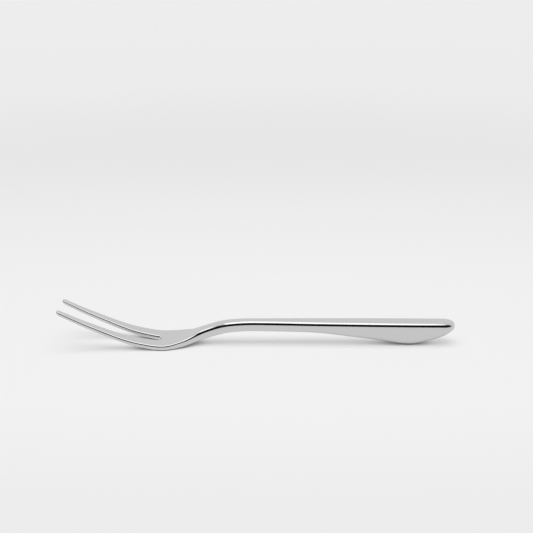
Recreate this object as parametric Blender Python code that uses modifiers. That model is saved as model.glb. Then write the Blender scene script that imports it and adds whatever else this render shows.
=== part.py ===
"""A two-tined fruit fork with a hollow handle, in metres, standing on z = 0.

X runs from the tine tips to the tail of the handle, Y across the fork and Z up from the table. The origin
is under the middle of the fork. The fork rests on its palm and on the keel, the deep end of its handle.
"""

import math

import bmesh
import bpy
import numpy as np

OBJECT_NAME = "fruit_fork"

# Lengths along the fork
LENGTH = 0.1407
PALM_FROM_TIPS = 0.0365
NECK_FROM_PALM = 0.031
HANDLE_LENGTH = 0.048
KEEL_FROM_TAIL = 0.0158
SLOT_LENGTH = 0.0355
SLOT_END_ROUND = 0.0009
PALM_EDGE_REACH = 0.006
NECK_EDGE_FROM_PALM = 0.0123
TIP_ROUND = 0.0012
TAIL_ROUND = 0.0042

# Heights of the top face above the table, and of the underside of the tail
TIP_HEIGHT = 0.01504
PALM_THICKNESS = 0.00183
NECK_HEIGHT = 0.00916
TAIL_HEIGHT = 0.00856
TAIL_UNDERSIDE = 0.0057

# Depths, from the top face to the underside
TINE_THICKNESS = 0.00141
NECK_DEPTH = 0.00366
JOINT_DEPTH = 0.00434

# Widths across the fork
TIPS_WIDTH = 0.0117
PALM_WIDTH = 0.01334
NECK_WIDTH = 0.00451
JOINT_WIDTH = 0.00551
KEEL_WIDTH = 0.00636
SLOT_MOUTH = 0.00759
SLOT_END_WIDTH = 0.0027

# Radii of the long edges
TINE_EDGE = 0.0005
PALM_EDGE = 0.00065
HANDLE_TOP_EDGE = 0.0015
HEAD_BOTTOM_EDGE = 0.0005
KEEL_BOTTOM_EDGE = 0.0027

# Inside the handle
SHELL_WALL = 0.0007
COVER_THICKNESS = 0.0017
TANG_LENGTH = 0.016
TANG_WIDTH = 0.0020
FILLER_FROM_JOINT = 0.012
BRAZE_GAP = 0.0001
BEDDING_GAP = 0.0003

# Shapes of the curves between the sizes above, as (share of the way, share of the change)
TINE_RISE = ((0.219, 0.091), (0.705, 0.6))
TINE_UNDERSIDE_RISE = ((0.219, 0.098), (0.705, 0.603))
NECK_RISE = ((0.255, 0.194), (0.463, 0.584), (0.752, 0.934))
NECK_UNDERSIDE_RISE = ((0.204, 0.101), (0.826, 0.952))
SHANK_FALL = ((0.56, 0.275), (0.85, 0.622))
SHOULDER_NARROWING = ((0.199, 0.282), (0.433, 0.885), (0.853, 0.987))
SLOT_NARROWING = ((0.562, 0.45),)
KEEL_FALL = ((0.331, 0.324), (0.575, 0.564))
STERN_RISE = ((0.364, 0.184), (0.85, 0.698))

# Places along X
TIPS_X = -LENGTH / 2
TAIL_X = LENGTH / 2
PALM_X = TIPS_X + PALM_FROM_TIPS
NECK_X = PALM_X + NECK_FROM_PALM
JOINT_X = TAIL_X - HANDLE_LENGTH
KEEL_X = TAIL_X - KEEL_FROM_TAIL
SLOT_END_X = TIPS_X + SLOT_LENGTH

# Facets
ARC_STEPS = 4
ROUND_STEPS = 6
STATION_SPACING = 0.0026

STEEL = {"color": (0.63, 0.63, 0.64), "roughness": 0.06, "metallic": 1.0}
FILL = {"color": (0.46, 0.44, 0.41), "roughness": 0.9, "metallic": 0.0}


def monotone(points):
    """A smooth curve through the points that turns only at them: cubics with harmonic-mean slopes."""
    x, y = np.array(points).T
    gap = np.diff(x)
    rise = np.diff(y) / gap
    slope = np.concatenate([rise[:1], np.zeros(len(x) - 2), rise[-1:]])
    bends = 1 + np.flatnonzero(rise[:-1] * rise[1:] > 0)
    before = 2 * gap[bends] + gap[bends - 1]
    after = gap[bends] + 2 * gap[bends - 1]
    slope[bends] = (before + after) / (before / rise[bends - 1] + after / rise[bends])

    def curve(at):
        piece = np.clip(np.searchsorted(x, at) - 1, 0, len(gap) - 1)
        t = (at - x[piece]) / gap[piece]
        ease = t * t * (3 - 2 * t)
        start = t * (1 - t) ** 2 * slope[piece]
        end = t * t * (t - 1) * slope[piece + 1]
        return y[piece] + ease * (y[piece + 1] - y[piece]) + gap[piece] * (start + end)

    return curve


def between(start, end, shares):
    """The points that lie the given shares of the way, and of the change, from start to end."""
    (x0, y0), (x1, y1) = start, end
    return [(x0 + way * (x1 - x0), y0 + change * (y1 - y0)) for way, change in shares]


def deck_curve():
    """Height of the top face along X, straight from the neck to the tail."""
    tip = (TIPS_X, TIP_HEIGHT)
    palm = (PALM_X, PALM_THICKNESS)
    neck = (NECK_X, NECK_HEIGHT)
    tail = (TAIL_X, TAIL_HEIGHT)
    straight = (JOINT_X - NECK_X) / (TAIL_X - NECK_X)
    joint = between(neck, tail, [(straight, straight)])
    tines = between(palm, tip, TINE_RISE)[::-1]
    return monotone([tip, *tines, palm, *between(palm, neck, NECK_RISE), neck, *joint, tail])


def underside_curve(deck):
    """Height of the underside along X, which touches the table at the palm and at the keel."""
    tip = (TIPS_X, TIP_HEIGHT - TINE_THICKNESS)
    palm = (PALM_X, 0.0)
    neck = (NECK_X, NECK_HEIGHT - NECK_DEPTH)
    joint = (JOINT_X, float(deck(JOINT_X)) - JOINT_DEPTH)
    keel = (KEEL_X, 0.0)
    tail = (TAIL_X, TAIL_UNDERSIDE)
    tines = between(palm, tip, TINE_UNDERSIDE_RISE)[::-1]
    shank = between(neck, joint, SHANK_FALL)
    front = [tip, *tines, palm, *between(palm, neck, NECK_UNDERSIDE_RISE), neck, *shank]
    back = [joint, *between(joint, keel, KEEL_FALL), keel, *between(keel, tail, STERN_RISE), tail]
    return monotone(front + back)


def outline_curve():
    """Half width of the fork along X, before the ends are rounded."""
    palm = (PALM_X, PALM_WIDTH / 2)
    neck = (NECK_X, NECK_WIDTH / 2)
    shoulders = between(palm, neck, SHOULDER_NARROWING)
    handle = [(JOINT_X, JOINT_WIDTH / 2), (KEEL_X, KEEL_WIDTH / 2), (TAIL_X, KEEL_WIDTH / 2)]
    return monotone([(TIPS_X, TIPS_WIDTH / 2), palm, *shoulders, neck, *handle])


def slot_curve():
    """Half width of the slot along X: it narrows from its mouth and ends in half an ellipse."""
    mouth = (TIPS_X, SLOT_MOUTH / 2)
    end = (SLOT_END_X - SLOT_END_ROUND, SLOT_END_WIDTH / 2)
    sides = monotone([mouth, *between(mouth, end, SLOT_NARROWING), end])

    def curve(at):
        into = np.clip((at - end[0]) / SLOT_END_ROUND, 0, 1)
        return np.where(at < SLOT_END_X, sides(np.minimum(at, end[0])) * np.sqrt(1 - into**2), 0)

    return curve


def edge_curves():
    """Radii of the top and bottom edges along X."""
    palm = (PALM_X, PALM_EDGE)
    kept = (PALM_X + PALM_EDGE_REACH, PALM_EDGE)
    grown = [(PALM_X + NECK_EDGE_FROM_PALM, HANDLE_TOP_EDGE), (TAIL_X, HANDLE_TOP_EDGE)]
    keel = [(KEEL_X, KEEL_BOTTOM_EDGE), (TAIL_X, KEEL_BOTTOM_EDGE)]
    top = monotone([(TIPS_X, TINE_EDGE), palm, kept, *grown])
    bottom = monotone([(TIPS_X, HEAD_BOTTOM_EDGE), (NECK_X, HEAD_BOTTOM_EDGE), *keel])
    return top, bottom


DECK = deck_curve()
UNDERSIDE = underside_curve(DECK)
OUTLINE = outline_curve()
SLOT = slot_curve()
TOP_EDGE, BOTTOM_EDGE = edge_curves()


def stations(*stops):
    """Evenly spaced places between the stops, with every stop among them."""
    runs = []
    for low, high in zip(stops, stops[1:]):
        steps = max(1, math.ceil((high - low) / STATION_SPACING))
        runs.append(np.linspace(low, high, steps, endpoint=False))
    return np.append(np.concatenate(runs), stops[-1])


def arc(centre_y, centre_z, radius, start_degrees):
    """A quarter circle from the start angle, as (y, z) points."""
    angles = np.radians(np.linspace(start_degrees, start_degrees + 90, ARC_STEPS + 1))
    return [(centre_y + radius * math.cos(a), centre_z + radius * math.sin(a)) for a in angles]


def half_section(inner, outer, bottom, top, bottom_edge, top_edge):
    """Half a section, from its inner bottom corner round the outer side to its inner top corner."""
    widest = min((outer - inner) / 2 if inner else outer, (top - bottom) / 2)
    low = min(bottom_edge, widest)
    high = min(top_edge, widest)
    side = arc(outer - low, bottom + low, low, -90) + arc(outer - high, top - high, high, 0)
    return [(inner, bottom), *side, (inner, top)]


def skin(name, sections, wall_on_plane, caps=()):
    """An open half, lofted through (x, half section) pairs, with each capped end closed by one face.

    wall_on_plane also joins the first and last points of each section, except on the middle plane.
    """
    mesh = bmesh.new()
    rings = [[mesh.verts.new((x, y, z)) for y, z in section] for x, section in sections]
    for ring, following in zip(rings, rings[1:]):
        last = len(ring) - 1
        pairs = [(k, k + 1) for k in range(last)]
        if wall_on_plane and max(ring[0].co.y, following[0].co.y) > 0:
            pairs.append((last, 0))
        for a, b in pairs:
            mesh.faces.new((ring[a], ring[b], following[b], following[a]))
    if "front" in caps:
        mesh.faces.new(rings[0][::-1])
    if "back" in caps:
        mesh.faces.new(rings[-1])
    bmesh.ops.remove_doubles(mesh, verts=mesh.verts, dist=1e-7)
    bmesh.ops.dissolve_degenerate(mesh, edges=mesh.edges, dist=1e-7)
    data = bpy.data.meshes.new(name)
    mesh.to_mesh(data)
    mesh.free()
    return bpy.data.objects.new(name, data)


def mirror_across(piece):
    mirror = piece.modifiers.new("Mirror", "MIRROR")
    mirror.use_axis = (False, True, False)
    mirror.merge_threshold = 1e-6


def rounding(at, end, length):
    """Share of the width that is left at these places by a rounded end of the given length."""
    into = np.clip(1 - np.abs(end - at) / length, 0, 1)
    return np.sqrt(np.clip(1 - into**2, 0, None))


def arc_stations(start, reach):
    """Places along a rounded end, close together where it turns."""
    return start + reach * np.sin(np.linspace(0, math.pi / 2, ROUND_STEPS + 1))


def tang_box():
    """Lowest and highest corners of the tang, which fills the height of the handle's mouth."""
    low = float(UNDERSIDE(JOINT_X)) + SHELL_WALL + BEDDING_GAP
    high = float(DECK(JOINT_X)) - COVER_THICKNESS - BRAZE_GAP - BEDDING_GAP
    return (JOINT_X, -TANG_WIDTH / 2, low), (JOINT_X + TANG_LENGTH, TANG_WIDTH / 2, high)


def make_head():
    """Tines, palm, neck, shank and tang in one piece, with a shoulder where the tang leaves the shank."""
    tips = arc_stations(TIPS_X + TIP_ROUND, -TIP_ROUND)[::-1]
    slot_end = arc_stations(SLOT_END_X - SLOT_END_ROUND, SLOT_END_ROUND)
    tines = stations(tips[-1], slot_end[0])
    shank = stations(slot_end[-1], PALM_X, NECK_X, JOINT_X)
    places = np.concatenate([tips[:-1], tines[:-1], slot_end[:-1], shank])
    outer, inner = OUTLINE(places), SLOT(places)
    middle = (outer + inner) / 2
    left = np.where(inner > 0, rounding(places, TIPS_X, TIP_ROUND), 1)
    outer = np.where(inner > 0, middle + (outer - middle) * left, outer)
    inner = np.where(inner > 0, middle - (middle - inner) * left, inner)
    values = zip(inner, outer, UNDERSIDE(places), DECK(places), BOTTOM_EDGE(places), TOP_EDGE(places))
    sections = [(x, half_section(*value)) for x, value in zip(places, values)]
    (start, _, low), (end, half_width, high) = tang_box()
    tang = half_section(0.0, half_width, low, high, TINE_EDGE, TINE_EDGE)
    sections += [(start, tang), (end, tang)]
    head = skin("fork_head", sections, wall_on_plane=True, caps=("back",))
    mirror_across(head)
    return head


def handle_places(start, inset):
    """Places and half widths along the handle, held in from its outline and its tail by the inset."""
    turn = TAIL_X - TAIL_ROUND
    end = TAIL_X - inset
    places = np.concatenate([stations(start, KEEL_X, turn)[:-1], arc_stations(turn, end - turn)])
    return places, (OUTLINE(places) - inset) * rounding(places, end, end - turn)


def make_shell():
    """The lower half of the handle: an open trough whose keel rounds into its walls."""
    places, widths = handle_places(JOINT_X + BRAZE_GAP, 0.0)
    rims = DECK(places) - COVER_THICKNESS - BRAZE_GAP
    sections = []
    for x, width, bottom, rim, edge in zip(places, widths, UNDERSIDE(places), rims, BOTTOM_EDGE(places)):
        low = min(edge, width, rim - bottom)
        sections.append((x, [(0.0, bottom), *arc(width - low, bottom + low, low, -90), (width, rim)]))
    shell = skin("handle_shell", sections, wall_on_plane=False)
    mirror_across(shell)
    wall = shell.modifiers.new("Wall", "SOLIDIFY")
    wall.thickness = SHELL_WALL
    wall.offset = -1
    wall.use_even_offset = True
    return shell


def flat_plate(name, outline, thickness):
    """A plate with the given outline, its top face at z = 0."""
    mesh = bmesh.new()
    top, bottom = [[mesh.verts.new((x, y, z)) for x, y in outline] for z in (0.0, -thickness)]
    mesh.faces.new(top)
    mesh.faces.new(bottom)
    for corner in range(len(outline)):
        mesh.faces.new((top[corner - 1], top[corner], bottom[corner], bottom[corner - 1]))
    bmesh.ops.recalc_face_normals(mesh, faces=mesh.faces)
    data = bpy.data.meshes.new(name)
    mesh.to_mesh(data)
    mesh.free()
    return bpy.data.objects.new(name, data)


def make_cover():
    """The top plate of the handle, with its top edge rounded all the way except at the joint."""
    start = JOINT_X + BRAZE_GAP
    places, widths = handle_places(start, 0.0)
    far_side = list(zip(places - start, widths))
    near_side = [(x, -y) for x, y in far_side[-2::-1]]
    cover = flat_plate("handle_cover", far_side + near_side, COVER_THICKNESS)
    mesh = bmesh.new()
    mesh.from_mesh(cover.data)
    weight = mesh.edges.layers.float.new("bevel_weight_edge")
    for edge in mesh.edges:
        on_top = all(corner.co.z > -COVER_THICKNESS / 2 for corner in edge.verts)
        behind_joint = any(corner.co.x > BRAZE_GAP for corner in edge.verts)
        edge[weight] = 1.0 if on_top and behind_joint else 0.0
    mesh.to_mesh(cover.data)
    mesh.free()
    rounded = cover.modifiers.new("Top edge", "BEVEL")
    rounded.limit_method = "WEIGHT"
    rounded.width = min(HANDLE_TOP_EDGE, COVER_THICKNESS - BRAZE_GAP)
    rounded.segments = ARC_STEPS
    cover.location = (start, 0, float(DECK(start)))
    cover.rotation_euler.y = math.atan2(NECK_HEIGHT - TAIL_HEIGHT, TAIL_X - NECK_X)
    return cover


def make_filler(cutters):
    """The fill in the trough behind the tang, with a groove that beds the end of the tang."""
    inset = SHELL_WALL + BEDDING_GAP
    places, widths = handle_places(JOINT_X + FILLER_FROM_JOINT, inset)
    bottoms = UNDERSIDE(places) + inset
    tops = DECK(places) - COVER_THICKNESS - BRAZE_GAP - BEDDING_GAP
    sections = []
    for x, width, bottom, top, edge in zip(places, widths, bottoms, tops, BOTTOM_EDGE(places)):
        low = min(edge, width, top - bottom)
        side = arc(width - low, bottom + low, low, -90)
        sections.append((x, [(0.0, bottom), *side, (width, top), (0.0, top)]))
    filler = skin("handle_filler", sections, wall_on_plane=False, caps=("front",))
    mirror_across(filler)
    (start, near, low), (end, far, high) = tang_box()
    groove_low = (start, near - BEDDING_GAP, low - BEDDING_GAP)
    groove_high = (end + BEDDING_GAP, far + BEDDING_GAP, high + NECK_HEIGHT)
    bed = filler.modifiers.new("Tang bed", "BOOLEAN")
    bed.operation = "DIFFERENCE"
    bed.object = box_cutter("tang_groove", groove_low, groove_high, cutters)
    return filler


def box_cutter(name, low, high, cutters):
    mesh = bmesh.new()
    bmesh.ops.create_cube(mesh, size=1)
    bmesh.ops.translate(mesh, verts=mesh.verts, vec=(0.5, 0.5, 0.5))
    bmesh.ops.scale(mesh, verts=mesh.verts, vec=[b - a for a, b in zip(low, high)])
    bmesh.ops.translate(mesh, verts=mesh.verts, vec=low)
    data = bpy.data.meshes.new(name)
    mesh.to_mesh(data)
    mesh.free()
    cutter = bpy.data.objects.new(name, data)
    cutter.hide_render = True
    cutter.display_type = "WIRE"
    cutters.objects.link(cutter)
    return cutter


def make_material(name, color, roughness, metallic):
    material = bpy.data.materials.new(name)
    material.use_nodes = True
    shader = material.node_tree.nodes["Principled BSDF"]
    shader.inputs["Base Color"].default_value = (*color, 1)
    shader.inputs["Roughness"].default_value = roughness
    shader.inputs["Metallic"].default_value = metallic
    return material


def finish(piece, look, parts, frame):
    """Puts a piece in the object's collection with its own material, smooth except at its sharp edges."""
    piece.data.materials.append(make_material(piece.name, **look))
    piece.data.shade_smooth()
    piece.data.set_sharp_from_angle(angle=math.radians(40))
    piece.parent = frame
    parts.objects.link(piece)


def main():
    for old in list(bpy.data.objects):
        bpy.data.objects.remove(old)
    parts = bpy.data.collections.new(OBJECT_NAME)
    cutters = bpy.data.collections.new(OBJECT_NAME + "_cutters")
    for collection in (parts, cutters):
        bpy.context.scene.collection.children.link(collection)
    frame = bpy.data.objects.new(OBJECT_NAME + "_frame", None)
    parts.objects.link(frame)
    for piece in (make_head(), make_shell(), make_cover()):
        finish(piece, STEEL, parts, frame)
    finish(make_filler(cutters), FILL, parts, frame)


main()
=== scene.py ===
"""Looks of a two-tined fruit fork with a hollow handle, lying on a pale studio floor.

X runs from the tine tips to the tail of the handle, Y across the fork and Z up from the floor, in metres.
Every surface is a grid of points, worked out from smooth curves that run along the fork.
"""

import math

import bmesh
import bpy
import numpy as np
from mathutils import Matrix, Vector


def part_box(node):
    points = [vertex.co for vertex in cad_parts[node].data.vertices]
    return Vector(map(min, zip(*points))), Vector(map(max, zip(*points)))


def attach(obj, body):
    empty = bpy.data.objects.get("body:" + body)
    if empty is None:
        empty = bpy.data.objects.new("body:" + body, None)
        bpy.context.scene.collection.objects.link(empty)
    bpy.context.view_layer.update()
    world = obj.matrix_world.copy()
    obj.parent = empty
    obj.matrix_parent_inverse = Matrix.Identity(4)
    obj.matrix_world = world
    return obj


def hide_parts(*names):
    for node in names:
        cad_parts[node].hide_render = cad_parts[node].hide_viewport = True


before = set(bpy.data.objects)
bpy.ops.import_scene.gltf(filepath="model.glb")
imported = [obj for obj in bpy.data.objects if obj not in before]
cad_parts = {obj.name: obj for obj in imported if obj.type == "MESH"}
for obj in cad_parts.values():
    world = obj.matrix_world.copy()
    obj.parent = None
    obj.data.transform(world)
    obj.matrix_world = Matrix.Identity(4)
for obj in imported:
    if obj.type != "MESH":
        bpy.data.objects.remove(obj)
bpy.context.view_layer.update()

bl_info = {
    "name": "Fruit fork",
    "version": (1, 0, 0),
    "blender": (4, 5, 0),
    "location": "View3D > Sidebar > Fruit fork",
    "description": "Makes a polished two-tined fruit fork with a hollow handle and its pale studio stage",
    "category": "Object",
}

HEAD_LOW, HEAD_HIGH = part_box("fork_head")
SHELL_LOW, SHELL_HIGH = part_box("handle_shell")

# Places along X that the frame gives
TIPS_X = HEAD_LOW.x
JOINT_X = SHELL_LOW.x
TANG_END_X = HEAD_HIGH.x
TAIL_X = SHELL_HIGH.x

# Shapes of the curves between the sizes, as (share of the way, share of the change)
TINE_RISE = ((0.219, 0.091), (0.705, 0.6))
TINE_UNDERSIDE_RISE = ((0.219, 0.098), (0.705, 0.603))
NECK_RISE = ((0.255, 0.194), (0.463, 0.584), (0.752, 0.934))
NECK_UNDERSIDE_RISE = ((0.204, 0.101), (0.826, 0.952))
SHANK_FALL = ((0.56, 0.275), (0.85, 0.622))
SHOULDER_NARROWING = ((0.199, 0.282), (0.433, 0.885), (0.853, 0.987))
SLOT_NARROWING = ((0.562, 0.45),)
KEEL_FALL = ((0.331, 0.324), (0.575, 0.564))
STERN_RISE = ((0.364, 0.184), (0.85, 0.698))

# Grid spacing: along the fork, round its ends, round its edges and across its faces
STATION_SPACING = 0.0003
END_STEPS = 20
EDGE_STEPS = 14
FACE_SHARES = np.array([0.0, 0.03, 0.5, 0.97, 1.0])
WELD_DISTANCE = 1e-7
SHARP_ANGLE = math.radians(40)

# Softening of the curves along X, so that reflections run on without a kink: a bell-shaped weight, by its
# spread, how many times its spread it reaches to either side, and its samples
SOFTENING = 0.0012
SOFTENING_REACH = 3
SOFTENING_SAMPLES = 25

# How sharply a rounded-off minimum turns from one value to the next
SOFT_LEAST_POWER = 8

# Grain of the materials: the noise's scales per metre along X, Y and Z, and its detail
BUFFING_LINES = ((60, 2600, 2600), 3.0)
HANDLING_CLOUDS = ((45, 110, 110), 2.0)
CEMENT_GRAINS = ((1400, 1400, 1400), 6.0)

# What the grain does to a surface: the noise's range that counts, and the bumps that it makes
BUFFING_RANGE = (0.3, 0.7)
BUFFING_BUMP = {"Strength": 0.15, "Distance": 2e-6}
CEMENT_RANGE = (0.2, 0.8)
CEMENT_BUMP = {"Strength": 0.6, "Distance": 0.0002}
CEMENT_ROUGHNESS = (0.95, 0.8)

# Where the floor's colours, which paint the fall-off of light, and its glow change, by depth and by
# distance from the fork
FRONT_FADE = (-0.035, -0.11)
BACK_FADE = (0.04, 0.28)
FAR_FADE = (0.28, 1.6)
GLOW_FADE = (0.1, 0.6)

# The floor's finish, and how many directions it tries to find its open space
FLOOR_ROUGHNESS = 0.9
OPENNESS_SAMPLES = 16

# Where the tent's dark opening ends, to either side of straight ahead and above the floor
OPENING_SIDES = (math.radians(60), math.radians(80))
OPENING_HEIGHTS = (math.sin(math.radians(58)), math.sin(math.radians(68)))

# Sockets of a colour mix node
MIX_FACTOR, MIX_LOW, MIX_HIGH, MIX_RESULT = 0, 6, 7, 2


def length(name, description, default):
    """A property that holds one size."""
    return bpy.props.FloatProperty(
        name=name, description=description, default=default, min=0, precision=5, unit="LENGTH"
    )


def color(name, description, default):
    """A property that holds one colour."""
    return bpy.props.FloatVectorProperty(
        name=name, description=description, default=default, size=3, min=0, max=1, subtype="COLOR"
    )


def share(name, description, default, most=1.0):
    """A property that holds a plain number from zero up."""
    return bpy.props.FloatProperty(
        name=name, description=description, default=default, min=0, max=most, precision=3
    )


class ForkSizes(bpy.types.PropertyGroup):
    """Sizes of the fork's outer form."""

    palm_from_tips: length("Palm from tips", "From the tips to where the palm rests", 0.0365)
    neck_from_palm: length("Neck from palm", "From the palm to the narrow neck", 0.031)
    keel_from_tail: length("Keel from tail", "From the tail to where the keel rests", 0.0158)
    slot_length: length("Slot length", "From the tips to the end of the slot", 0.0355)
    slot_end_round: length("Slot end round", "Length of the rounded end of the slot", 0.0009)
    palm_edge_reach: length("Palm edge reach", "How far behind the palm its edge radius holds", 0.006)
    neck_edge_from_palm: length("Neck edge", "From the palm to where the edges are fully round", 0.0123)
    tip_round: length("Tip round", "Length of the rounded tip of a tine", 0.0012)
    tail_round: length("Tail round", "Length of the rounded tail", 0.0042)
    tip_height: length("Tip height", "Height of the top face at the tips", HEAD_HIGH.z)
    palm_thickness: length("Palm thickness", "Height of the top face at the palm", 0.00183)
    neck_height: length("Neck height", "Height of the top face at the neck", 0.00916)
    tail_height: length("Tail height", "Height of the top face at the tail", 0.00856)
    tail_underside: length("Tail underside", "Height of the underside at the tail", 0.0057)
    tine_thickness: length("Tine thickness", "Depth of a tine", 0.00141)
    neck_depth: length("Neck depth", "Depth of the neck", 0.00366)
    joint_depth: length("Joint depth", "Depth of the shank where the handle starts", 0.00434)
    tips_width: length("Tips width", "Width over both tines at the tips", 0.0117)
    palm_width: length("Palm width", "Width of the palm", 2 * HEAD_HIGH.y)
    neck_width: length("Neck width", "Width of the neck", 0.00451)
    joint_width: length("Joint width", "Width of the shank where the handle starts", 0.00551)
    keel_width: length("Keel width", "Width of the handle at its keel", 2 * SHELL_HIGH.y)
    slot_mouth: length("Slot mouth", "Width of the slot at the tips", 0.00759)
    slot_end_width: length("Slot end width", "Width of the slot where its round end starts", 0.0027)
    tine_edge: length("Tine edge", "Radius of the edges of the tines", 0.0005)
    palm_edge: length("Palm edge", "Radius of the edges of the palm", 0.00065)
    handle_top_edge: length("Handle top edge", "Radius of the top edges of neck and handle", 0.0015)
    head_bottom_edge: length("Head bottom edge", "Radius of the bottom edges from tines to neck", 0.0005)
    keel_bottom_edge: length("Keel bottom edge", "Radius of the bottom edges of the keel", 0.0027)


class HandleSizes(bpy.types.PropertyGroup):
    """Sizes inside the hollow handle."""

    shell_wall: length("Shell wall", "Thickness of the handle shell", 0.0007)
    cover_thickness: length("Cover thickness", "Thickness of the cover on the handle", 0.0017)
    tang_width: length("Tang width", "Width of the tang inside the handle", 0.0020)
    bedding_gap: length("Bedding gap", "Room between the tang and the shell", 0.0003)


class ForkFinishes(bpy.types.PropertyGroup):
    """Colours and polish of the fork."""

    steel: color("Steel", "Colour that the polished steel reflects", (0.645, 0.645, 0.65))
    steel_dull: color("Dull steel", "Colour of the steel where it is handled", (0.625, 0.624, 0.622))
    polish: share("Polish", "Roughness of the best polished steel", 0.045)
    haze: share("Haze", "Roughness of the least polished steel", 0.085)
    fill: color("Fill", "Main colour of the cement in the handle", (0.46, 0.44, 0.41))
    fill_dark: color("Dark fill", "Colour of the dark grains in the cement", (0.30, 0.285, 0.26))


class StageSettings(bpy.types.PropertyGroup):
    """Floor, light and camera."""

    # The four floor colours are painted light: lightest under the fork, darker in front and behind it,
    # and a little lighter far behind, standing in for how the studio light falls off.
    floor: color("Floor", "Colour of the floor under the fork", (0.871, 0.871, 0.871))
    floor_front: color("Front floor", "Colour of the floor in front of the fork", (0.826, 0.826, 0.826))
    floor_back: color("Back floor", "Colour of the floor behind the fork", (0.834, 0.831, 0.834))
    floor_far: color("Far floor", "Colour of the floor far behind the fork", (0.85, 0.847, 0.85))
    surround: color("Surround", "Colour of the pale tent round the fork", (0.88, 0.88, 0.88))
    opening: color("Opening", "Colour of the dark opening in front of the fork", (0.01, 0.01, 0.01))
    floor_size: length("Floor size", "Side of the square floor", 6.0)
    softbox_width: length("Softbox width", "Size along the fork of the light that the metal shows", 0.39)
    softbox_depth: length("Softbox depth", "Size across the fork of the light that the metal shows", 0.48)
    softbox_place: bpy.props.FloatVectorProperty(
        name="Softbox place",
        description="Where the middle of the light that the metal shows is",
        default=(0.01, -0.06, 0.6),
        subtype="XYZ",
        unit="LENGTH",
    )
    softbox_level: share("Softbox level", "Brightness of the light that the metal shows", 0.95, 4.0)
    panel_width: length("Panel width", "Size along the fork of the side panel that the metal shows", 0.32)
    panel_place: length("Panel place", "How far the side panel stands to the left", 0.49)
    key_width: length("Key width", "Size along the fork of the light on the floor", 1.4)
    key_depth: length("Key depth", "Size across the fork of the light on the floor", 0.8)
    key_place: bpy.props.FloatVectorProperty(
        name="Key place",
        description="Where the middle of the light on the floor is",
        default=(0, -0.11, 1.0),
        subtype="XYZ",
        unit="LENGTH",
    )
    key_level: share("Key level", "Brightness of the light on the floor", 2.5, 4.0)
    tent_level: share("Tent level", "Brightness of the tent as a light", 0.28)
    # The floor's glow stands in for light and fades near the fork as a painted soft shadow; the touch
    # settings paint the floor black where the fork rests, a painted contact shadow.
    glow: share("Floor glow", "Share of the floor's look that takes no shadow", 0.55)
    closed_share: share("Closed share", "Share of open space at which the floor's glow ends", 0.04)
    open_share: share("Open share", "Share of open space that the floor's full glow takes", 0.42)
    contact_reach: length("Contact reach", "How near the fork the floor's glow gets darker", 0.009)
    touch_closed: share("Touch closed", "Share of open space at which the floor is black", 0.42)
    touch_open: share("Touch open", "Share of open space at which the floor is clear", 0.6)
    touch_reach: length("Touch reach", "How near the fork the floor goes black", 0.0003)
    camera_place: bpy.props.FloatVectorProperty(
        name="Camera place",
        description="Where the camera stands",
        default=(0.00306, -0.2582, 0.13216),
        subtype="XYZ",
        unit="LENGTH",
    )
    camera_tilt: bpy.props.FloatProperty(
        name="Camera tilt",
        description="How far the camera looks down from level",
        default=math.radians(21.68),
        subtype="ANGLE",
        unit="ROTATION",
    )
    camera_lens: bpy.props.FloatProperty(
        name="Camera lens", description="Focal length in millimetres", default=54.03, min=1, unit="CAMERA"
    )


def eased(way):
    """The share of the way, from 0 to 1, made to start and end level."""
    return way * way * (3 - 2 * way)


def monotone(points):
    """A smooth curve through the points that turns only at them: cubics with harmonic-mean slopes.

    Beyond its ends the curve runs straight on.
    """
    x, y = np.array(points).T
    gap = np.diff(x)
    rise = np.diff(y) / gap
    slope = np.concatenate([rise[:1], np.zeros(len(x) - 2), rise[-1:]])
    bends = 1 + np.flatnonzero(rise[:-1] * rise[1:] > 0)
    before = 2 * gap[bends] + gap[bends - 1]
    after = gap[bends] + 2 * gap[bends - 1]
    slope[bends] = (before + after) / (before / rise[bends - 1] + after / rise[bends])

    def curve(at):
        inside = np.clip(at, x[0], x[-1])
        piece = np.clip(np.searchsorted(x, inside) - 1, 0, len(gap) - 1)
        t = (inside - x[piece]) / gap[piece]
        start = t * (1 - t) ** 2 * slope[piece]
        end = t * t * (t - 1) * slope[piece + 1]
        beyond = (at - inside) * np.where(at < x[0], slope[0], slope[-1])
        return y[piece] + eased(t) * (y[piece + 1] - y[piece]) + gap[piece] * (start + end) + beyond

    return curve


def soft_curve(points):
    """The monotone curve through the points, averaged along X with a bell-shaped weight."""
    base = monotone(points)
    offsets = np.linspace(-SOFTENING_REACH, SOFTENING_REACH, SOFTENING_SAMPLES)
    weights = np.exp(-offsets * offsets / 2)
    weights /= weights.sum()

    def curve(at):
        return base(np.asarray(at)[..., None] + SOFTENING * offsets) @ weights

    return curve


def between(start, end, shares):
    """The points that lie the given shares of the way, and of the change, from start to end."""
    (x0, y0), (x1, y1) = start, end
    return [(x0 + way * (x1 - x0), y0 + change * (y1 - y0)) for way, change in shares]


def ellipse_end(at, start, reach):
    """Share of the width that is left by a round end, a quarter ellipse from start over the reach."""
    into = np.clip((at - start) / reach, 0, 1)
    return np.sqrt(1 - into**2)


def soft_least(*values):
    """A rounded-off minimum: the root of the sum of the values raised to a high negative power."""
    return sum(value**-SOFT_LEAST_POWER for value in values) ** (-1 / SOFT_LEAST_POWER)


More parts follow.
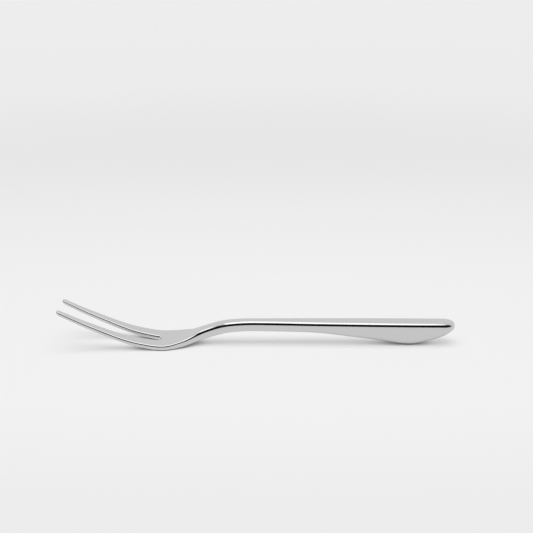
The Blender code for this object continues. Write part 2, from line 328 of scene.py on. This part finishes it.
class ForkForm:
    """The fork's curves along X, each a function of the place, worked out from its sizes."""

    def __init__(self, sizes):
        self.sizes = sizes
        self.palm_x = TIPS_X + sizes.palm_from_tips
        self.neck_x = self.palm_x + sizes.neck_from_palm
        self.keel_x = TAIL_X - sizes.keel_from_tail
        self.slot_end_x = TIPS_X + sizes.slot_length
        self.deck = self.deck_curve()
        self.underside = self.underside_curve()
        self.outline = self.outline_curve()
        self.slot_side = self.slot_curve()
        self.top_edge, self.bottom_edge = self.edge_curves()

    def deck_curve(self):
        """Height of the top face, straight from the neck to the tail."""
        sizes = self.sizes
        tip = (TIPS_X, sizes.tip_height)
        palm = (self.palm_x, sizes.palm_thickness)
        neck = (self.neck_x, sizes.neck_height)
        tail = (TAIL_X, sizes.tail_height)
        straight = (JOINT_X - self.neck_x) / (TAIL_X - self.neck_x)
        joint = between(neck, tail, [(straight, straight)])
        tines = between(palm, tip, TINE_RISE)[::-1]
        return soft_curve([tip, *tines, palm, *between(palm, neck, NECK_RISE), neck, *joint, tail])

    def underside_curve(self):
        """Height of the underside, which touches the floor at the palm and at the keel."""
        sizes = self.sizes
        tip = (TIPS_X, sizes.tip_height - sizes.tine_thickness)
        palm = (self.palm_x, 0.0)
        neck = (self.neck_x, sizes.neck_height - sizes.neck_depth)
        joint = (JOINT_X, float(self.deck(JOINT_X)) - sizes.joint_depth)
        keel = (self.keel_x, 0.0)
        tail = (TAIL_X, sizes.tail_underside)
        tines = between(palm, tip, TINE_UNDERSIDE_RISE)[::-1]
        shank = between(neck, joint, SHANK_FALL)
        front = [tip, *tines, palm, *between(palm, neck, NECK_UNDERSIDE_RISE), neck, *shank]
        back = [joint, *between(joint, keel, KEEL_FALL), keel, *between(keel, tail, STERN_RISE), tail]
        return soft_curve(front + back)

    def outline_curve(self):
        """Half width of the fork, before the ends are rounded."""
        sizes = self.sizes
        tips = (TIPS_X, sizes.tips_width / 2)
        palm = (self.palm_x, sizes.palm_width / 2)
        neck = (self.neck_x, sizes.neck_width / 2)
        joint = (JOINT_X, sizes.joint_width / 2)
        keel = (self.keel_x, sizes.keel_width / 2)
        tail = (TAIL_X, sizes.keel_width / 2)
        shoulders = between(palm, neck, SHOULDER_NARROWING)
        return soft_curve([tips, palm, *shoulders, neck, joint, keel, tail])

    def slot_curve(self):
        """Half width of the slot, before its end is rounded."""
        sizes = self.sizes
        mouth = (TIPS_X, sizes.slot_mouth / 2)
        end = (self.slot_end_x - sizes.slot_end_round, sizes.slot_end_width / 2)
        return soft_curve([mouth, *between(mouth, end, SLOT_NARROWING), end])

    def edge_curves(self):
        """Radii of the top and bottom edges."""
        sizes = self.sizes
        palm = (self.palm_x, sizes.palm_edge)
        kept = (self.palm_x + sizes.palm_edge_reach, sizes.palm_edge)
        grown = (self.palm_x + sizes.neck_edge_from_palm, sizes.handle_top_edge)
        top = [(TIPS_X, sizes.tine_edge), palm, kept, grown]
        head = [(TIPS_X, sizes.head_bottom_edge), (self.neck_x, sizes.head_bottom_edge)]
        keel = [(self.keel_x, sizes.keel_bottom_edge), (TAIL_X, sizes.keel_bottom_edge)]
        return soft_curve([*top, (TAIL_X, sizes.handle_top_edge)]), soft_curve(head + keel)


def run(start, end):
    """Evenly spaced places from start up to, but without, the end."""
    return np.linspace(start, end, math.ceil((end - start) / STATION_SPACING), endpoint=False)


def round_run(start, end):
    """Places from start to end that close up towards the end, evenly spaced by angle."""
    return start + (end - start) * np.sin(np.linspace(0, math.pi / 2, END_STEPS + 1))


def along(x, y):
    """Points (x, y) in plan."""
    return np.stack(np.broadcast_arrays(x, y), axis=-1)


def plan_normals(points):
    """Unit normals in plan on the left of a line of points: its tangent turned by a right angle."""
    steps = np.linalg.norm(np.diff(points, axis=0), axis=1)
    tangent = np.gradient(points, np.append(0, np.cumsum(steps)), axis=0)
    normal = along(-tangent[:, 1], tangent[:, 0])
    return normal / np.linalg.norm(normal, axis=1, keepdims=True)


def on_height(plan, height):
    """Points in plan lifted to the given heights."""
    return np.concatenate([plan, height[..., None]], axis=-1)


def top_round(form, boundary, normal):
    """The top edge: a quarter circle carried along the deck's boundary, from the deck to the wall.

    A point at angle a lies out from the boundary by radius times cosine a, and below the deck at its own
    place by radius times (1 - sine a).
    """
    radius = form.top_edge(boundary[:, :1])
    angle = np.linspace(math.pi / 2, 0, EDGE_STEPS + 1)
    plan = boundary[:, None] + normal[:, None] * (radius * np.cos(angle))[..., None]
    return on_height(plan, form.deck(plan[..., 0]) - radius * (1 - np.sin(angle)))


def wall_band(top, bottom):
    """Points down a wall between two lines of points, with rows that hold the flat next to each line."""
    inner = FACE_SHARES[1:-1, None]
    return top[:, None] + (bottom - top)[:, None] * inner


def bottom_round(form, outline, normal):
    """The bottom edge: a quarter circle from the wall in under the fork, made like the top edge."""
    radius = form.bottom_edge(outline[:, :1])
    angle = np.linspace(0, math.pi / 2, EDGE_STEPS + 1)
    plan = outline[:, None] - normal[:, None] * (radius * (1 - np.cos(angle)))[..., None]
    return on_height(plan, form.underside(plan[..., 0]) + radius * (1 - np.sin(angle)))


def edge_strip(form, boundary, normal):
    """Top edge, wall and bottom edge along a boundary of the deck."""
    top = top_round(form, boundary, normal)
    bottom = bottom_round(form, top[:, -1, :2], normal)
    return np.concatenate([top, wall_band(top[:, -1], bottom[:, 0]), bottom], axis=1)


def face_rows(start, end, height):
    """A face between two lines in plan: points across it at the face shares, lifted to its height."""
    plan = start[:, None] + (end - start)[:, None] * FACE_SHARES[:, None]
    return on_height(plan, height(plan[..., 0]))


def flattened(ring):
    """The ring moved onto the middle plane, which closes a half section with a flat cap."""
    return ring * np.array([1, 0, 1])


class HalfMesh:
    """Grids of points on one side of the middle plane, and their faces."""

    def __init__(self):
        self.points = []
        self.faces = []
        self.count = 0

    def add(self, grid, closed=False):
        """Adds a grid: each row is joined to the next, and a closed row's last point to its first."""
        rows, columns = grid.shape[:2]
        index = self.count + np.arange(rows * columns).reshape(rows, columns)
        if closed:
            index = np.concatenate([index, index[:, :1]], axis=1)
        corners = [index[:-1, :-1], index[1:, :-1], index[1:, 1:], index[:-1, 1:]]
        self.points.append(grid.reshape(-1, 3))
        self.faces.append(np.stack(corners, axis=-1).reshape(-1, 4))
        self.count += rows * columns

    def build(self, name):
        """The closed mesh of this half and its mirror image, welded, with its faces pointing out."""
        half = np.concatenate(self.points)
        faces = np.concatenate(self.faces)
        points = np.concatenate([half, half * np.array([1, -1, 1])])
        data = bpy.data.meshes.new(name)
        data.from_pydata(points, [], np.concatenate([faces, faces[:, ::-1] + len(half)]))
        mesh = bmesh.new()
        mesh.from_mesh(data)
        bmesh.ops.remove_doubles(mesh, verts=mesh.verts, dist=WELD_DISTANCE)
        bmesh.ops.dissolve_degenerate(mesh, edges=mesh.edges, dist=WELD_DISTANCE)
        bmesh.ops.recalc_face_normals(mesh, faces=mesh.faces)
        mesh.to_mesh(data)
        mesh.free()
        data.shade_smooth()
        data.set_sharp_from_angle(angle=SHARP_ANGLE)
        return data


def add_piece(context, name, data, node, material):
    """Puts a finished mesh in the scene in place of its node, on the fork's one body."""
    piece = bpy.data.objects.new(name, data)
    context.scene.collection.objects.link(piece)
    data.materials.append(material)
    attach(piece, "root")
    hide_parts(node)


def tine_boundaries(form):
    """Inner and outer boundary of a tine's deck, from the round tip to the round end of the slot.

    Both stand in from the tine's sides by the edge radius. At the tip they close on the tine's middle
    line by a half ellipse. At the slot's end the inner one comes to the middle plane by a quarter one.
    """
    sizes = form.sizes
    tip_start = TIPS_X + sizes.tip_round
    tip_end = TIPS_X + float(form.top_edge(TIPS_X))
    slot_start = form.slot_end_x - sizes.slot_end_round
    slot_end = form.slot_end_x + float(form.top_edge(form.slot_end_x))
    tip = round_run(tip_start, tip_end)[::-1]
    x = np.concatenate([tip[:-1], run(tip_start, slot_start), round_run(slot_start, slot_end)])
    edge = form.top_edge(x)
    inner = (form.slot_side(x) + edge) * ellipse_end(x, slot_start, slot_end - slot_start)
    outer = form.outline(x) - edge
    middle = (inner + outer) / 2
    left = ellipse_end(-x, -tip_start, tip_start - tip_end)
    return along(x, middle + (inner - middle) * left), along(x, middle + (outer - middle) * left)


def fork_head_mesh(form, handle):
    """Tines, palm, neck, shank and tang: rings that follow the deck, its edges and the underside."""
    inner, outer = tine_boundaries(form)
    tines = len(inner)
    x = np.append(run(outer[-1, 0], JOINT_X)[1:], JOINT_X)
    side = np.concatenate([outer, along(x, form.outline(x) - form.top_edge(x))])
    normals = plan_normals(np.concatenate([inner[:0:-1], side]))
    inner_normals = normals[:tines][::-1]
    inner_normals[-1] = (-1, 0)
    side_normals = normals[tines - 1 :]
    # The normals turn square to X from the neck to the joint, so that the shank ends in a flat ring
    square = np.clip((side[:, 0] - form.neck_x) / (JOINT_X - form.neck_x), 0, 1)
    side_normals[:, 0] *= 1 - eased(square)
    side_normals /= np.linalg.norm(side_normals, axis=1, keepdims=True)

    side_strip = edge_strip(form, side, side_normals)
    slot_strip = edge_strip(form, inner, inner_normals)
    middle = np.concatenate([inner, along(x, 0.0)])
    middle_below = np.concatenate([slot_strip[:, -1, :2], along(x, 0.0)])
    top = face_rows(middle, side, form.deck)
    bottom = face_rows(side_strip[:, -1, :2], middle_below, form.underside)
    body = np.concatenate([top, side_strip[:, 1:-1], bottom], axis=1)
    shank = body[tines - 1 :]

    mesh = HalfMesh()
    mesh.add(np.concatenate([body[:tines], slot_strip[:, -2:0:-1]], axis=1), closed=True)
    mesh.add(np.concatenate([shank, tang_rings(form, handle, shank[-1])]))
    return mesh.build("fork_head")


def tang_rings(form, handle, shank):
    """Start, end and cap of the tang: the shank's last ring, shrunk to the tang's width and height."""
    low = float(form.underside(JOINT_X)) + handle.shell_wall + handle.bedding_gap
    high = float(form.deck(JOINT_X)) - handle.cover_thickness - handle.bedding_gap
    rise = (shank[:, 2] - shank[:, 2].min()) / np.ptp(shank[:, 2])
    across = shank[:, 1] * handle.tang_width / 2 / shank[:, 1].max()
    start = np.stack([shank[:, 0], across, low + rise * (high - low)], axis=-1)
    end = start.copy()
    end[:, 0] = TANG_END_X
    return np.stack([start, end, flattened(end)])


def handle_boundary(form):
    """Boundary of the handle's deck and its normals, from the joint round the half-elliptic tail."""
    edge = form.sizes.handle_top_edge
    turn = TAIL_X - form.sizes.tail_round
    x = np.concatenate([run(JOINT_X, turn), round_run(turn, TAIL_X - edge)])
    y = (form.outline(x) - form.top_edge(x)) * ellipse_end(x, turn, TAIL_X - edge - turn)
    boundary = along(x, y)
    normal = plan_normals(boundary)
    normal[x <= turn] = (0, 1)
    normal[-1] = (1, 0)
    return boundary, normal


def handle_cover_mesh(form, handle):
    """The plate on top of the handle: deck, rounded edge, a low wall and a flat underside."""
    boundary, normal = handle_boundary(form)
    edge = top_round(form, boundary, normal)
    deck = face_rows(boundary * np.array([1, 0]), boundary, form.deck)
    outline = edge[:, -1, :2]
    below = face_rows(
        outline, outline * np.array([1, 0]), lambda x: form.deck(x) - handle.cover_thickness
    )
    wall = wall_band(edge[:, -1], below[:, 0])
    rings = np.concatenate([deck, edge[:, 1:], wall, below], axis=1)
    mesh = HalfMesh()
    mesh.add(np.concatenate([flattened(rings[:1]), rings]))
    return mesh.build("handle_cover")


def trough(x, width, bottom, rim, edge):
    """Half sections of a trough at places along X: down the wall, round the edge and to the middle."""
    radius = soft_least(edge, np.maximum(width, WELD_DISTANCE), rim - bottom)
    angle = np.linspace(0, math.pi / 2, EDGE_STEPS + 1)
    round_y = (width - radius)[:, None] + radius[:, None] * np.cos(angle)
    round_z = (bottom + radius)[:, None] - radius[:, None] * np.sin(angle)
    wall_z = rim[:, None] + (bottom + radius - rim)[:, None] * FACE_SHARES[:-1]
    wall_y = np.broadcast_to(width[:, None], wall_z.shape)
    flat_y = (width - radius)[:, None] * (1 - FACE_SHARES[1:])
    flat_z = np.broadcast_to(bottom[:, None], flat_y.shape)
    y = np.concatenate([wall_y, round_y, flat_y], axis=1)
    z = np.concatenate([wall_z, round_z, flat_z], axis=1)
    return np.stack([np.broadcast_to(x[:, None], y.shape), y, z], axis=-1)


def handle_shell_mesh(form, handle):
    """The lower half of the handle: an outer trough, and an inner one that stands in by the wall."""
    boundary, normal = handle_boundary(form)
    outline = top_round(form, boundary, normal)[:, -1, :2]
    inside = outline - normal * handle.shell_wall
    skins = []
    for plan, wall in ((outline, 0.0), (inside, handle.shell_wall)):
        x, width = plan.T
        rim = form.deck(x) - handle.cover_thickness
        edge = form.bottom_edge(x) - wall
        skins.append(trough(x, width, form.underside(x) + wall, rim, edge))
    outer, inner = skins
    mesh = HalfMesh()
    mesh.add(outer)
    mesh.add(inner[:, ::-1])
    mesh.add(np.stack([inner[:, 0], outer[:, 0]], axis=1))
    mesh.add(np.stack([outer[0], inner[0]], axis=1))
    return mesh.build("handle_shell")


class NodeTree:
    """Short calls for a material's or a world's nodes."""

    def __init__(self, owner):
        owner.use_nodes = True
        self.tree = owner.node_tree

    def add(self, kind, values=(), **settings):
        """Adds a node with its settings, and sets or links its inputs by name."""
        node = self.tree.nodes.new("ShaderNode" + kind)
        for name, value in settings.items():
            setattr(node, name, value)
        for name, value in dict(values).items():
            self.set(node, name, value)
        return node

    def set(self, node, name, value):
        """Sets an input of a node to a value, or links it to another node's output."""
        if isinstance(value, bpy.types.NodeSocket):
            self.tree.links.new(value, node.inputs[name])
        else:
            node.inputs[name].default_value = value

    def find(self, kind):
        """The node of this kind that Blender made with the tree."""
        return next(node for node in self.tree.nodes if node.bl_idname == "ShaderNode" + kind)


def mix_colors(nodes, factor, low, high):
    """A colour that goes from low to high with the factor."""
    mix = nodes.add("Mix", data_type="RGBA")
    for socket, value in ((MIX_FACTOR, factor), (MIX_LOW, low), (MIX_HIGH, high)):
        nodes.set(mix, socket, value)
    return mix.outputs[MIX_RESULT]


def stretched_noise(nodes, stretch, detail):
    """Noise on the piece's own coordinates, with its scale per metre along X, Y and Z."""
    coords = nodes.add("TexCoord").outputs["Object"]
    mapping = nodes.add("Mapping", {"Vector": coords, "Scale": stretch})
    noise = nodes.add("TexNoise", {"Vector": mapping.outputs["Vector"], "Scale": 1.0, "Detail": detail})
    return noise.outputs["Fac"]


def map_range(nodes, value, start, end, low, high, smooth=False):
    """The value's way from start to end, as a number from low to high."""
    ranged = nodes.add("MapRange", interpolation_type="SMOOTHSTEP" if smooth else "LINEAR")
    inputs = {"Value": value, "From Min": start, "From Max": end, "To Min": low, "To Max": high}
    for name, setting in inputs.items():
        nodes.set(ranged, name, setting)
    return ranged.outputs["Result"]


def polished_steel(finishes):
    """Mirror-polished steel: fine lines along the fork from buffing, and faint clouds from handling."""
    material = bpy.data.materials.new("polished_steel")
    nodes = NodeTree(material)
    lines = stretched_noise(nodes, *BUFFING_LINES)
    clouds = stretched_noise(nodes, *HANDLING_CLOUDS)
    shader = nodes.find("BsdfPrincipled")
    shader.inputs["Metallic"].default_value = 1.0
    tint = mix_colors(nodes, clouds, (*finishes.steel_dull, 1), (*finishes.steel, 1))
    nodes.set(shader, "Base Color", tint)
    roughness = map_range(nodes, lines, *BUFFING_RANGE, finishes.polish, finishes.haze)
    nodes.set(shader, "Roughness", roughness)
    bump = nodes.add("Bump", {"Height": lines, **BUFFING_BUMP})
    nodes.set(shader, "Normal", bump.outputs["Normal"])
    return material


def hard_fill(finishes):
    """Pale grey cement with darker grains and a rough cast surface."""
    material = bpy.data.materials.new("hard_fill")
    nodes = NodeTree(material)
    grains = stretched_noise(nodes, *CEMENT_GRAINS)
    shader = nodes.find("BsdfPrincipled")
    tint = mix_colors(nodes, grains, (*finishes.fill_dark, 1), (*finishes.fill, 1))
    nodes.set(shader, "Base Color", tint)
    roughness = map_range(nodes, grains, *CEMENT_RANGE, *CEMENT_ROUGHNESS)
    nodes.set(shader, "Roughness", roughness)
    bump = nodes.add("Bump", {"Height": grains, **CEMENT_BUMP})
    nodes.set(shader, "Normal", bump.outputs["Normal"])
    return material


def steel_for(context):
    """The steel that all the metal pieces share, made once."""
    return bpy.data.materials.get("polished_steel") or polished_steel(context.scene.fork_finishes)


class FRUITFORK_OT_head(bpy.types.Operator):
    """Makes the tines, palm, neck and tang"""

    bl_idname = "fruit_fork.head"
    bl_label = "Fork head"

    def execute(self, context):
        data = fork_head_mesh(ForkForm(context.scene.fork_sizes), context.scene.fork_handle)
        steel = steel_for(context)
        add_piece(context, "fork_head_polished", data, "fork_head", steel)
        return {"FINISHED"}


class FRUITFORK_OT_shell(bpy.types.Operator):
    """Makes the lower half of the hollow handle"""

    bl_idname = "fruit_fork.shell"
    bl_label = "Handle shell"

    def execute(self, context):
        data = handle_shell_mesh(ForkForm(context.scene.fork_sizes), context.scene.fork_handle)
        steel = steel_for(context)
        add_piece(context, "handle_shell_polished", data, "handle_shell", steel)
        return {"FINISHED"}


class FRUITFORK_OT_cover(bpy.types.Operator):
    """Makes the cover that closes the handle"""

    bl_idname = "fruit_fork.cover"
    bl_label = "Handle cover"

    def execute(self, context):
        data = handle_cover_mesh(ForkForm(context.scene.fork_sizes), context.scene.fork_handle)
        steel = steel_for(context)
        add_piece(context, "handle_cover_polished", data, "handle_cover", steel)
        return {"FINISHED"}


class FRUITFORK_OT_filler(bpy.types.Operator):
    """Gives the fill inside the handle its cement look"""

    bl_idname = "fruit_fork.filler"
    bl_label = "Handle filler"

    def execute(self, context):
        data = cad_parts["handle_filler"].data
        data.materials.clear()
        data.materials.append(hard_fill(context.scene.fork_finishes))
        return {"FINISHED"}


def openness(nodes, reach, closed_share, open_share):
    """The share of directions that are open within reach, as 0 at the closed share to 1 at the open."""
    space = nodes.add("AmbientOcclusion", {"Distance": reach}, samples=OPENNESS_SAMPLES)
    return map_range(nodes, space.outputs["AO"], closed_share, open_share, 0.0, 1.0)


def greatest(nodes, first, second):
    """The greater of two values."""
    return nodes.add("Math", {0: first, 1: second}, operation="MAXIMUM").outputs[0]


def seen_rays(nodes):
    """Two switches: 1 for what the camera sees by itself, and 1 for what it sees in any way."""
    rays = nodes.add("LightPath").outputs
    direct = rays["Is Camera Ray"]
    mirrored = greatest(nodes, rays["Is Glossy Ray"], rays["Is Transmission Ray"])
    return direct, greatest(nodes, direct, mirrored)


def make_floor(context, stage):
    """A flat square floor whose colour changes from front to back as a painted fall-off of light, with
    painted soft shade under the fork.

    A share of its look takes real light and shadow, and the rest is a glow that stands in for light and
    fades where the fork leaves little open space, a painted shadow. Right where the fork touches it, the
    floor's colour is painted black, a painted contact shadow.
    """
    half = stage.floor_size / 2
    x, y = np.meshgrid([-half, half], [-half, half])
    points = np.stack([x, y, np.zeros_like(x)], axis=-1).reshape(-1, 3)
    data = bpy.data.meshes.new("floor")
    data.from_pydata(points, [], [(0, 1, 3, 2)])
    floor = bpy.data.objects.new("floor", data)
    context.scene.collection.objects.link(floor)
    material = bpy.data.materials.new("floor_paper")
    nodes = NodeTree(material)
    coords = nodes.add("TexCoord").outputs["Object"]
    depth = nodes.add("SeparateXYZ", {"Vector": coords}).outputs["Y"]
    front = map_range(nodes, depth, *FRONT_FADE, 0.0, 1.0, smooth=True)
    back = map_range(nodes, depth, *BACK_FADE, 0.0, 1.0, smooth=True)
    far = map_range(nodes, depth, *FAR_FADE, 0.0, 1.0)
    shader = nodes.find("BsdfPrincipled")
    shader.inputs["Roughness"].default_value = FLOOR_ROUGHNESS
    shader.inputs["Specular IOR Level"].default_value = 0.0
    # Painted light: the tint is lightest under the fork and darker in front of and behind it.
    tint = mix_colors(nodes, front, (*stage.floor, 1), (*stage.floor_front, 1))
    tint = mix_colors(nodes, back, tint, (*stage.floor_back, 1))
    tint = mix_colors(nodes, far, tint, (*stage.floor_far, 1))
    # Painted contact shadow: the floor's colour goes black where the fork leaves almost no open space
    # close by.
    painted_contact_shadow = openness(nodes, stage.touch_reach, stage.touch_closed, stage.touch_open)
    tint = mix_colors(nodes, painted_contact_shadow, (0, 0, 0, 1), tint)
    nodes.set(shader, "Base Color", tint)
    # Painted soft shadow: the glow weakens where the fork leaves little open space near the floor.
    painted_shade_glow_strength = openness(nodes, stage.contact_reach, stage.closed_share, stage.open_share)
    glow = nodes.add("Emission", {"Color": tint, "Strength": painted_shade_glow_strength})
    _, seen = seen_rays(nodes)
    distance = nodes.add("VectorMath", {0: coords}, operation="LENGTH").outputs["Value"]
    glowing = map_range(nodes, distance, *GLOW_FADE, stage.glow, 1.0, smooth=True)
    lifted = nodes.add("Math", {0: seen, 1: glowing}, operation="MULTIPLY").outputs[0]
    look = nodes.add("MixShader", {0: lifted, 1: shader.outputs["BSDF"], 2: glow.outputs["Emission"]})
    nodes.set(nodes.find("OutputMaterial"), "Surface", look.outputs["Shader"])
    data.materials.append(material)


def make_surround(context, stage):
    """A pale tent with a dark opening in front of the fork, which shows only in the metal."""
    world = bpy.data.worlds.new("pale_tent")
    context.scene.world = world
    nodes = NodeTree(world)
    way = nodes.add("SeparateXYZ", {"Vector": nodes.add("TexCoord").outputs["Generated"]})
    front = nodes.add("Math", {0: way.outputs["Y"], 1: -1.0}, operation="MULTIPLY").outputs[0]
    azimuth = nodes.add("Math", {0: way.outputs["X"], 1: front}, operation="ARCTAN2").outputs[0]
    aside = nodes.add("Math", {0: azimuth}, operation="ABSOLUTE").outputs[0]
    within = map_range(nodes, aside, *OPENING_SIDES, 1.0, 0.0, smooth=True)
    under = map_range(nodes, way.outputs["Z"], *OPENING_HEIGHTS, 1.0, 0.0, smooth=True)
    opening = nodes.add("Math", {0: within, 1: under}, operation="MULTIPLY").outputs[0]
    tent = mix_colors(nodes, opening, (*stage.surround, 1), (*stage.opening, 1))
    direct, seen = seen_rays(nodes)
    shown = mix_colors(nodes, direct, tent, (*stage.surround, 1))
    background = nodes.find("Background")
    nodes.set(background, "Color", mix_colors(nodes, seen, (1, 1, 1, 1), shown))
    nodes.set(background, "Strength", map_range(nodes, seen, 0.0, 1.0, stage.tent_level, 1.0))


def make_lamp(context, name, width, depth, place, level):
    """A soft light that shines straight down, with a power of its level times pi times its area."""
    light = bpy.data.lights.new(name, "AREA")
    light.shape = "RECTANGLE"
    light.size = width
    light.size_y = depth
    light.energy = level * math.pi * width * depth
    lamp = bpy.data.objects.new(name, light)
    lamp.location = place
    lamp.visible_camera = False
    context.scene.collection.objects.link(lamp)
    return lamp


def make_lamps(context, stage):
    """A softbox and a panel to its left that the metal shows, and a key light that it doesn't."""
    place, depth, level = stage.softbox_place, stage.softbox_depth, stage.softbox_level
    make_lamp(context, "softbox", stage.softbox_width, depth, place, level)
    panel = make_lamp(context, "panel", stage.panel_width, depth, (-stage.panel_place, *place[1:]), level)
    panel.visible_diffuse = False
    key = make_lamp(context, "key", stage.key_width, stage.key_depth, stage.key_place, stage.key_level)
    key.visible_glossy = False


def make_camera(context, stage):
    """The camera in front of the fork, looking down at it."""
    data = bpy.data.cameras.new("camera")
    data.lens = stage.camera_lens
    camera = bpy.data.objects.new("camera", data)
    camera.location = stage.camera_place
    camera.rotation_euler = (math.pi / 2 - stage.camera_tilt, 0, 0)
    context.scene.collection.objects.link(camera)
    context.scene.camera = camera


class FRUITFORK_OT_stage(bpy.types.Operator):
    """Makes the floor, the light and the camera"""

    bl_idname = "fruit_fork.stage"
    bl_label = "Studio stage"

    def execute(self, context):
        stage = context.scene.fork_stage
        make_floor(context, stage)
        make_surround(context, stage)
        make_lamps(context, stage)
        make_camera(context, stage)
        context.scene.view_settings.view_transform = "Standard"
        return {"FINISHED"}


class FRUITFORK_PT_panel(bpy.types.Panel):
    """Lists the fork's pieces and the sizes and colours behind them"""

    bl_idname = "FRUITFORK_PT_panel"
    bl_label = "Fruit fork"
    bl_space_type = "VIEW_3D"
    bl_region_type = "UI"
    bl_category = "Fruit fork"

    def draw(self, context):
        for operator in OPERATORS:
            self.layout.operator(operator.bl_idname)
        for name in GROUPS:
            group = getattr(context.scene, name)
            box = self.layout.box()
            for prop in group.__annotations__:
                box.prop(group, prop)


GROUPS = {
    "fork_sizes": ForkSizes,
    "fork_handle": HandleSizes,
    "fork_finishes": ForkFinishes,
    "fork_stage": StageSettings,
}
OPERATORS = (
    FRUITFORK_OT_head,
    FRUITFORK_OT_shell,
    FRUITFORK_OT_cover,
    FRUITFORK_OT_filler,
    FRUITFORK_OT_stage,
)


def register():
    for cls in (*GROUPS.values(), *OPERATORS, FRUITFORK_PT_panel):
        bpy.utils.register_class(cls)
    for name, group in GROUPS.items():
        setattr(bpy.types.Scene, name, bpy.props.PointerProperty(type=group))


def unregister():
    for name in GROUPS:
        delattr(bpy.types.Scene, name)
    for cls in (FRUITFORK_PT_panel, *reversed(OPERATORS), *reversed(GROUPS.values())):
        bpy.utils.unregister_class(cls)


def main():
    register()
    bpy.ops.fruit_fork.head()
    bpy.ops.fruit_fork.shell()
    bpy.ops.fruit_fork.cover()
    bpy.ops.fruit_fork.filler()
    bpy.ops.fruit_fork.stage()


if __name__ == "__main__":
    main()
